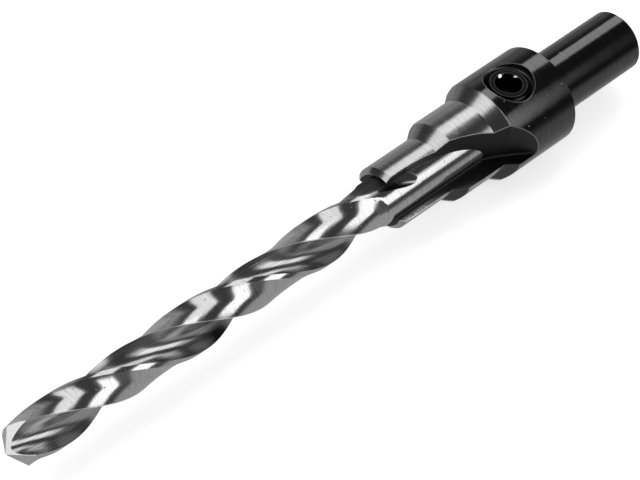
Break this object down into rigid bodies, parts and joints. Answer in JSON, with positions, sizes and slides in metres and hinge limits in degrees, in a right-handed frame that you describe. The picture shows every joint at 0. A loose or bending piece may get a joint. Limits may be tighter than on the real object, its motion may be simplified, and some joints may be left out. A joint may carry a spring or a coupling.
{
  "type": "stepped drill bit",
  "caption": "Twist drill clamped by a grub screw in a turned, stepped countersink holder with milled chip flutes and a plain round shank; bores pilot, neck and head in one pass.",
  "frame": {"origin": "centre of the flat end of the clamping shank, on the bit's axis", "axes": "+X along the axis out of the shank's end, so the drill's point is towards -X; +Z along the grub screw, out of its socket; the bit is held by its shank, because it rolls when it lies free"},
  "size_m": [0.0862, 0.011, 0.011],
  "materials": {
    "ground_steel": "ground bright, near mirror in the flutes",
    "blackened_steel": "glossy black oxide, worn bright on the steps and cones",
    "black_screw": "satin black oxide"
  },
  "bodies": {
    "root": {"twist_drill": "ground_steel", "stepped_countersink": "blackened_steel", "grub_screw": "black_screw"}
  },
  "joints": []
}
